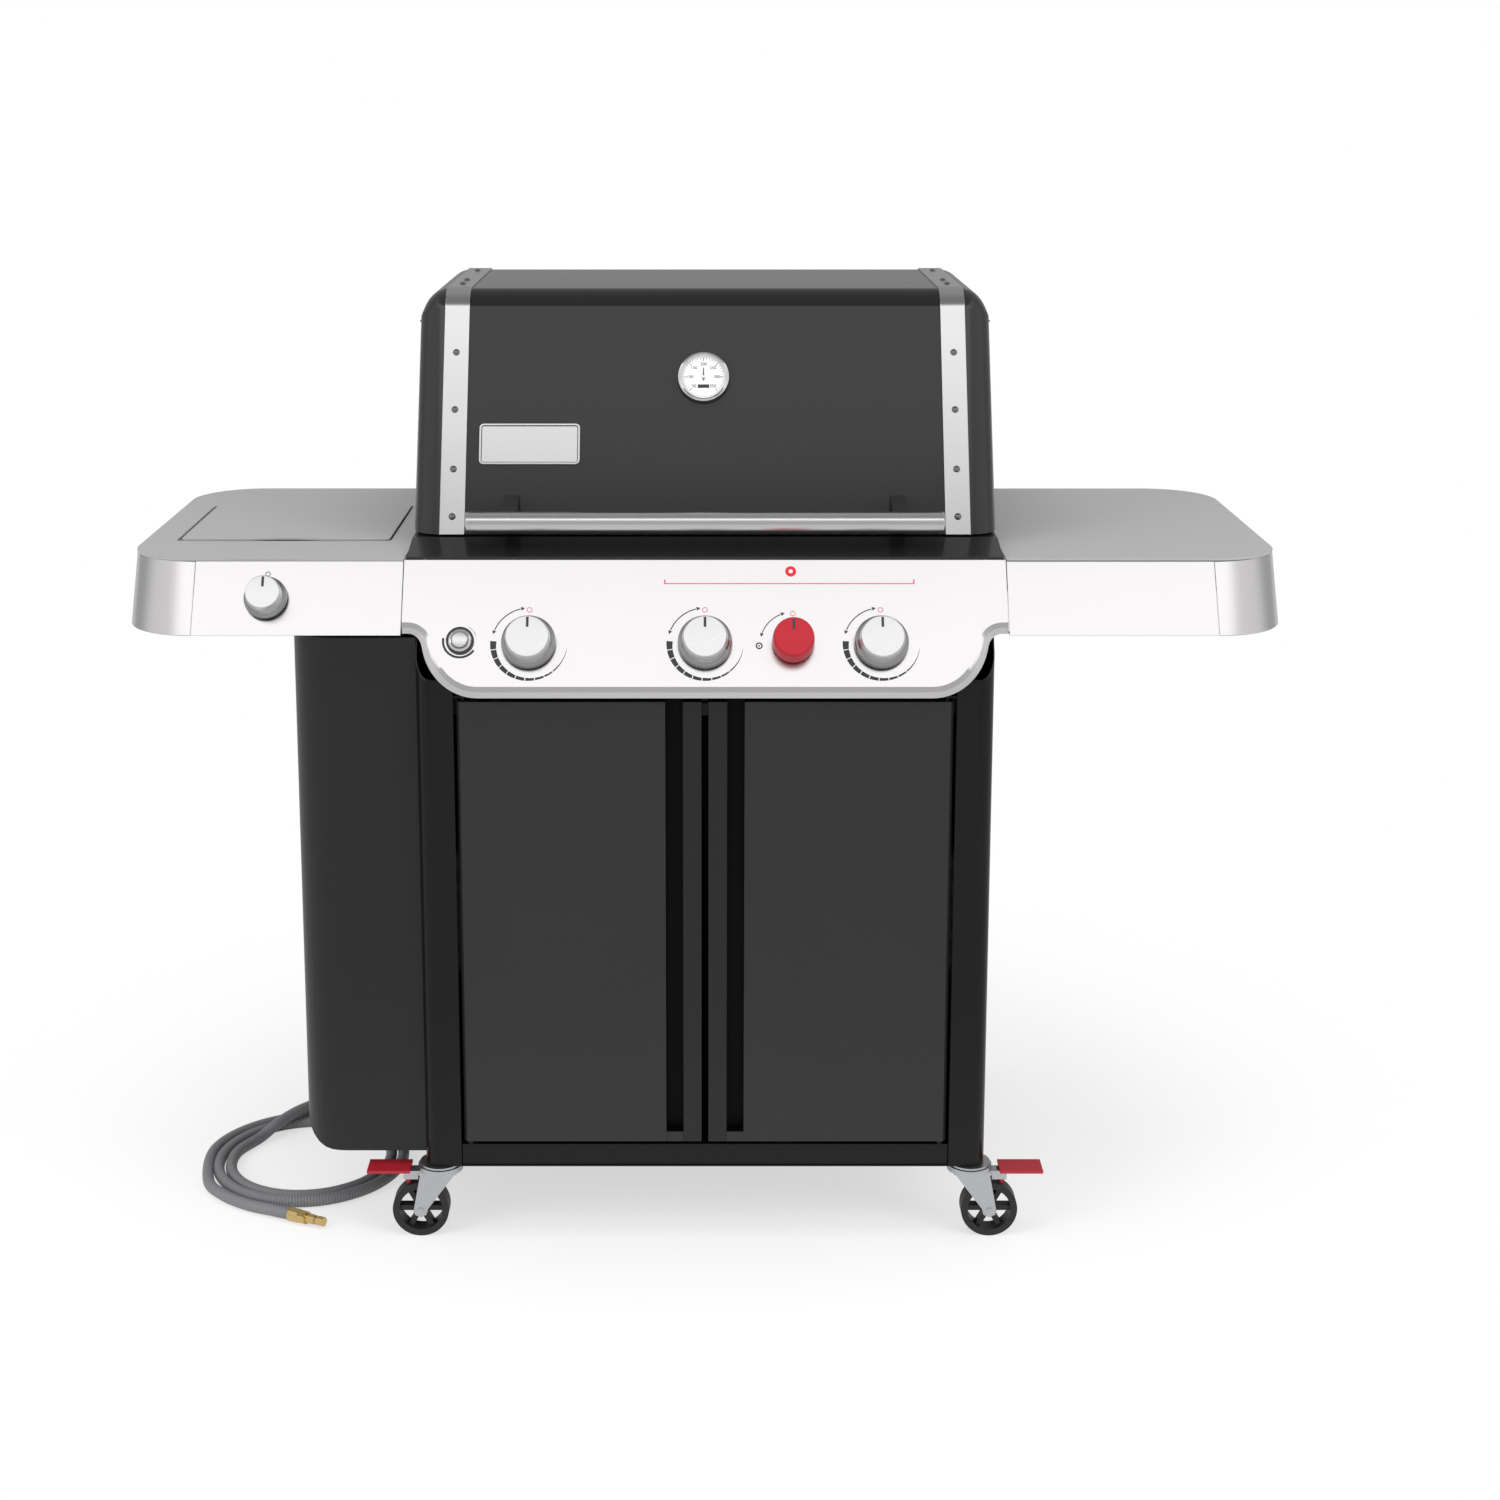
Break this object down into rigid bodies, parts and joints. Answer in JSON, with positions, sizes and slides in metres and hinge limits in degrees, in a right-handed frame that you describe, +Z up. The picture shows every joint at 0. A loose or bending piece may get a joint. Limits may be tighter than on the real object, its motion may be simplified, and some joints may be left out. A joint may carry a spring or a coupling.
{
  "type": "gas barbecue grill",
  "caption": "Free-standing gas barbecue grill with hinged lid, side tables, side burner, closed cabinet, casters and a coiled gas hose.",
  "frame": {"origin": "on the floor, midway across the two side tables and midway front to back", "axes": "+X to the right seen from the front, -Y towards the cook, +Z up"},
  "size_m": [1.524, 0.7108, 1.2594],
  "materials": {
    "cabinet_black": "satin",
    "cast_black": "satin",
    "enamel_black": "gloss",
    "iron": "matte",
    "stainless": "brushed",
    "chrome": "polished",
    "zinc": "satin",
    "brass": "satin",
    "table_grey": "satin",
    "aluminised": "satin",
    "black_plastic": "matte",
    "hose_grey": "matte",
    "knob_silver": "satin",
    "knob_red": "gloss",
    "wheel_black": "satin",
    "brake_red": "matte"
  },
  "bodies": {
    "grill": {"bottom_panel": "cabinet_black", "side_panels": "cabinet_black", "back_panel": "cabinet_black", "front_frame": "cabinet_black", "tank_cover": "cabinet_black", "cookbox": "cast_black", "cooking_grates": "iron", "heat_bars": "stainless", "burner_tubes": "stainless", "gas_manifold": "zinc", "gas_valves": "brass", "control_panel": "stainless", "table_left": "table_grey", "table_right": "table_grey", "table_fascias": "stainless", "table_ends": "stainless", "table_brackets": "cabinet_black", "side_burner_bowl": "stainless", "side_burner_head": "iron", "side_burner_grate": "iron", "igniter_module": "black_plastic", "hose_gland": "black_plastic", "gas_hose": "hose_grey", "hose_plug": "brass", "caster_plates": "zinc"},
    "lid": {"lid_shell": "enamel_black", "lid_end_left": "cast_black", "lid_end_right": "cast_black", "lid_trims": "chrome", "lid_rivets": "chrome", "handle_bar": "stainless", "handle_mounts": "black_plastic", "thermometer": "chrome", "badge_plate": "stainless"},
    "rack": {"warming_rack": "stainless"},
    "left_door": {"door_left": "cabinet_black"},
    "right_door": {"door_right": "cabinet_black"},
    "burner_lid": {"side_burner_lid": "table_grey"},
    "tray": {"grease_tray": "aluminised"},
    "button": {"igniter_button": "chrome"},
    "valve_left": {"stem_left": "stainless"},
    "dial_left": {"knob_left": "knob_silver"},
    "valve_middle": {"stem_middle": "stainless"},
    "dial_middle": {"knob_middle": "knob_silver"},
    "valve_right": {"stem_right": "stainless"},
    "dial_right": {"knob_right": "knob_silver"},
    "valve_sear": {"stem_sear": "stainless"},
    "dial_sear": {"knob_sear": "knob_red"},
    "valve_side": {"stem_side": "stainless"},
    "dial_side": {"knob_side": "knob_silver"},
    "caster_front_left": {"fork_front_left": "zinc"},
    "roller_front_left": {"wheel_front_left": "wheel_black"},
    "caster_front_right": {"fork_front_right": "zinc"},
    "roller_front_right": {"wheel_front_right": "wheel_black"},
    "caster_rear_left": {"fork_rear_left": "zinc"},
    "roller_rear_left": {"wheel_rear_left": "wheel_black"},
    "caster_rear_right": {"fork_rear_right": "zinc"},
    "roller_rear_right": {"wheel_rear_right": "wheel_black"},
    "lever_front_left": {"brake_front_left": "brake_red"},
    "lever_front_right": {"brake_front_right": "brake_red"}
  },
  "joints": [
    {"name": "lid_hinge", "type": "hinge", "parent": "grill", "child": "lid", "pos_m": [0, 0.318, 0.948], "axis": [-1, 0, 0], "range_deg": [0, 85]},
    {"name": "rack_fold", "type": "hinge", "parent": "lid", "child": "rack", "pos_m": [0, 0.32402, 1.061], "axis": [-1, 0, 0], "range_deg": [0, 60]},
    {"name": "left_door_hinge", "type": "hinge", "parent": "grill", "child": "left_door", "pos_m": [-0.3145, -0.3145, 0.4], "axis": [0, 0, -1], "range_deg": [0, 105]},
    {"name": "right_door_hinge", "type": "hinge", "parent": "grill", "child": "right_door", "pos_m": [0.3145, -0.3145, 0.4], "axis": [0, 0, 1], "range_deg": [0, 105]},
    {"name": "side_burner_lid_hinge", "type": "hinge", "parent": "grill", "child": "burner_lid", "pos_m": [-0.702, 0, 0.913], "axis": [0, -1, 0], "range_deg": [0, 95]},
    {"name": "grease_tray_slide", "type": "slide", "parent": "grill", "child": "tray", "axis": [0, 1, 0], "range_m": [0, 0.35]},
    {"name": "igniter_push", "type": "slide", "parent": "grill", "child": "button", "axis": [0, 0.866, -0.5], "range_m": [0, 0.003]},
    {"name": "valve_left_turn", "type": "hinge", "parent": "grill", "child": "valve_left", "pos_m": [-0.228, -0.31173, 0.823], "axis": [0, -0.866, 0.5], "range_deg": [0, 240]},
    {"name": "knob_left_push", "type": "slide", "parent": "valve_left", "child": "dial_left", "axis": [0, 0.866, -0.5], "range_m": [0, 0.004]},
    {"name": "valve_middle_turn", "type": "hinge", "parent": "grill", "child": "valve_middle", "pos_m": [0, -0.31173, 0.823], "axis": [0, -0.866, 0.5], "range_deg": [0, 240]},
    {"name": "knob_middle_push", "type": "slide", "parent": "valve_middle", "child": "dial_middle", "axis": [0, 0.866, -0.5], "range_m": [0, 0.004]},
    {"name": "valve_right_turn", "type": "hinge", "parent": "grill", "child": "valve_right", "pos_m": [0.228, -0.31173, 0.823], "axis": [0, -0.866, 0.5], "range_deg": [0, 240]},
    {"name": "knob_right_push", "type": "slide", "parent": "valve_right", "child": "dial_right", "axis": [0, 0.866, -0.5], "range_m": [0, 0.004]},
    {"name": "valve_sear_turn", "type": "hinge", "parent": "grill", "child": "valve_sear", "pos_m": [0.114, -0.31173, 0.823], "axis": [0, -0.866, 0.5], "range_deg": [0, 240]},
    {"name": "knob_sear_push", "type": "slide", "parent": "valve_sear", "child": "dial_sear", "axis": [0, 0.866, -0.5], "range_m": [0, 0.004]},
    {"name": "valve_side_turn", "type": "hinge", "parent": "grill", "child": "valve_side", "pos_m": [-0.571, -0.28171, 0.875], "axis": [0, -0.866, 0.5], "range_deg": [0, 240]},
    {"name": "knob_side_push", "type": "slide", "parent": "valve_side", "child": "dial_side", "axis": [0, 0.866, -0.5], "range_m": [0, 0.004]},
    {"name": "swivel_front_left", "type": "hinge", "parent": "grill", "child": "caster_front_left", "pos_m": [-0.357, -0.303, 0.095], "axis": [0, 0, 1], "continuous": true},
    {"name": "roll_front_left", "type": "hinge", "parent": "caster_front_left", "child": "roller_front_left", "pos_m": [-0.384, -0.303, 0.038], "axis": [0, 1, 0], "continuous": true},
    {"name": "swivel_front_right", "type": "hinge", "parent": "grill", "child": "caster_front_right", "pos_m": [0.357, -0.303, 0.095], "axis": [0, 0, 1], "continuous": true},
    {"name": "roll_front_right", "type": "hinge", "parent": "caster_front_right", "child": "roller_front_right", "pos_m": [0.384, -0.303, 0.038], "axis": [0, 1, 0], "continuous": true},
    {"name": "swivel_rear_left", "type": "hinge", "parent": "grill", "child": "caster_rear_left", "pos_m": [-0.357, 0.236, 0.095], "axis": [0, 0, 1], "continuous": true},
    {"name": "roll_rear_left", "type": "hinge", "parent": "caster_rear_left", "child": "roller_rear_left", "pos_m": [-0.384, 0.236, 0.038], "axis": [0, 1, 0], "continuous": true},
    {"name": "swivel_rear_right", "type": "hinge", "parent": "grill", "child": "caster_rear_right", "pos_m": [0.357, 0.236, 0.095], "axis": [0, 0, 1], "continuous": true},
    {"name": "roll_rear_right", "type": "hinge", "parent": "caster_rear_right", "child": "roller_rear_right", "pos_m": [0.384, 0.236, 0.038], "axis": [0, 1, 0], "continuous": true},
    {"name": "brake_front_left_lift", "type": "hinge", "parent": "caster_front_left", "child": "lever_front_left", "pos_m": [-0.402, -0.303, 0.085], "axis": [0, 1, 0], "range_deg": [0, 5]},
    {"name": "brake_front_right_lift", "type": "hinge", "parent": "caster_front_right", "child": "lever_front_right", "pos_m": [0.402, -0.303, 0.085], "axis": [0, -1, 0], "range_deg": [0, 5]}
  ]
}
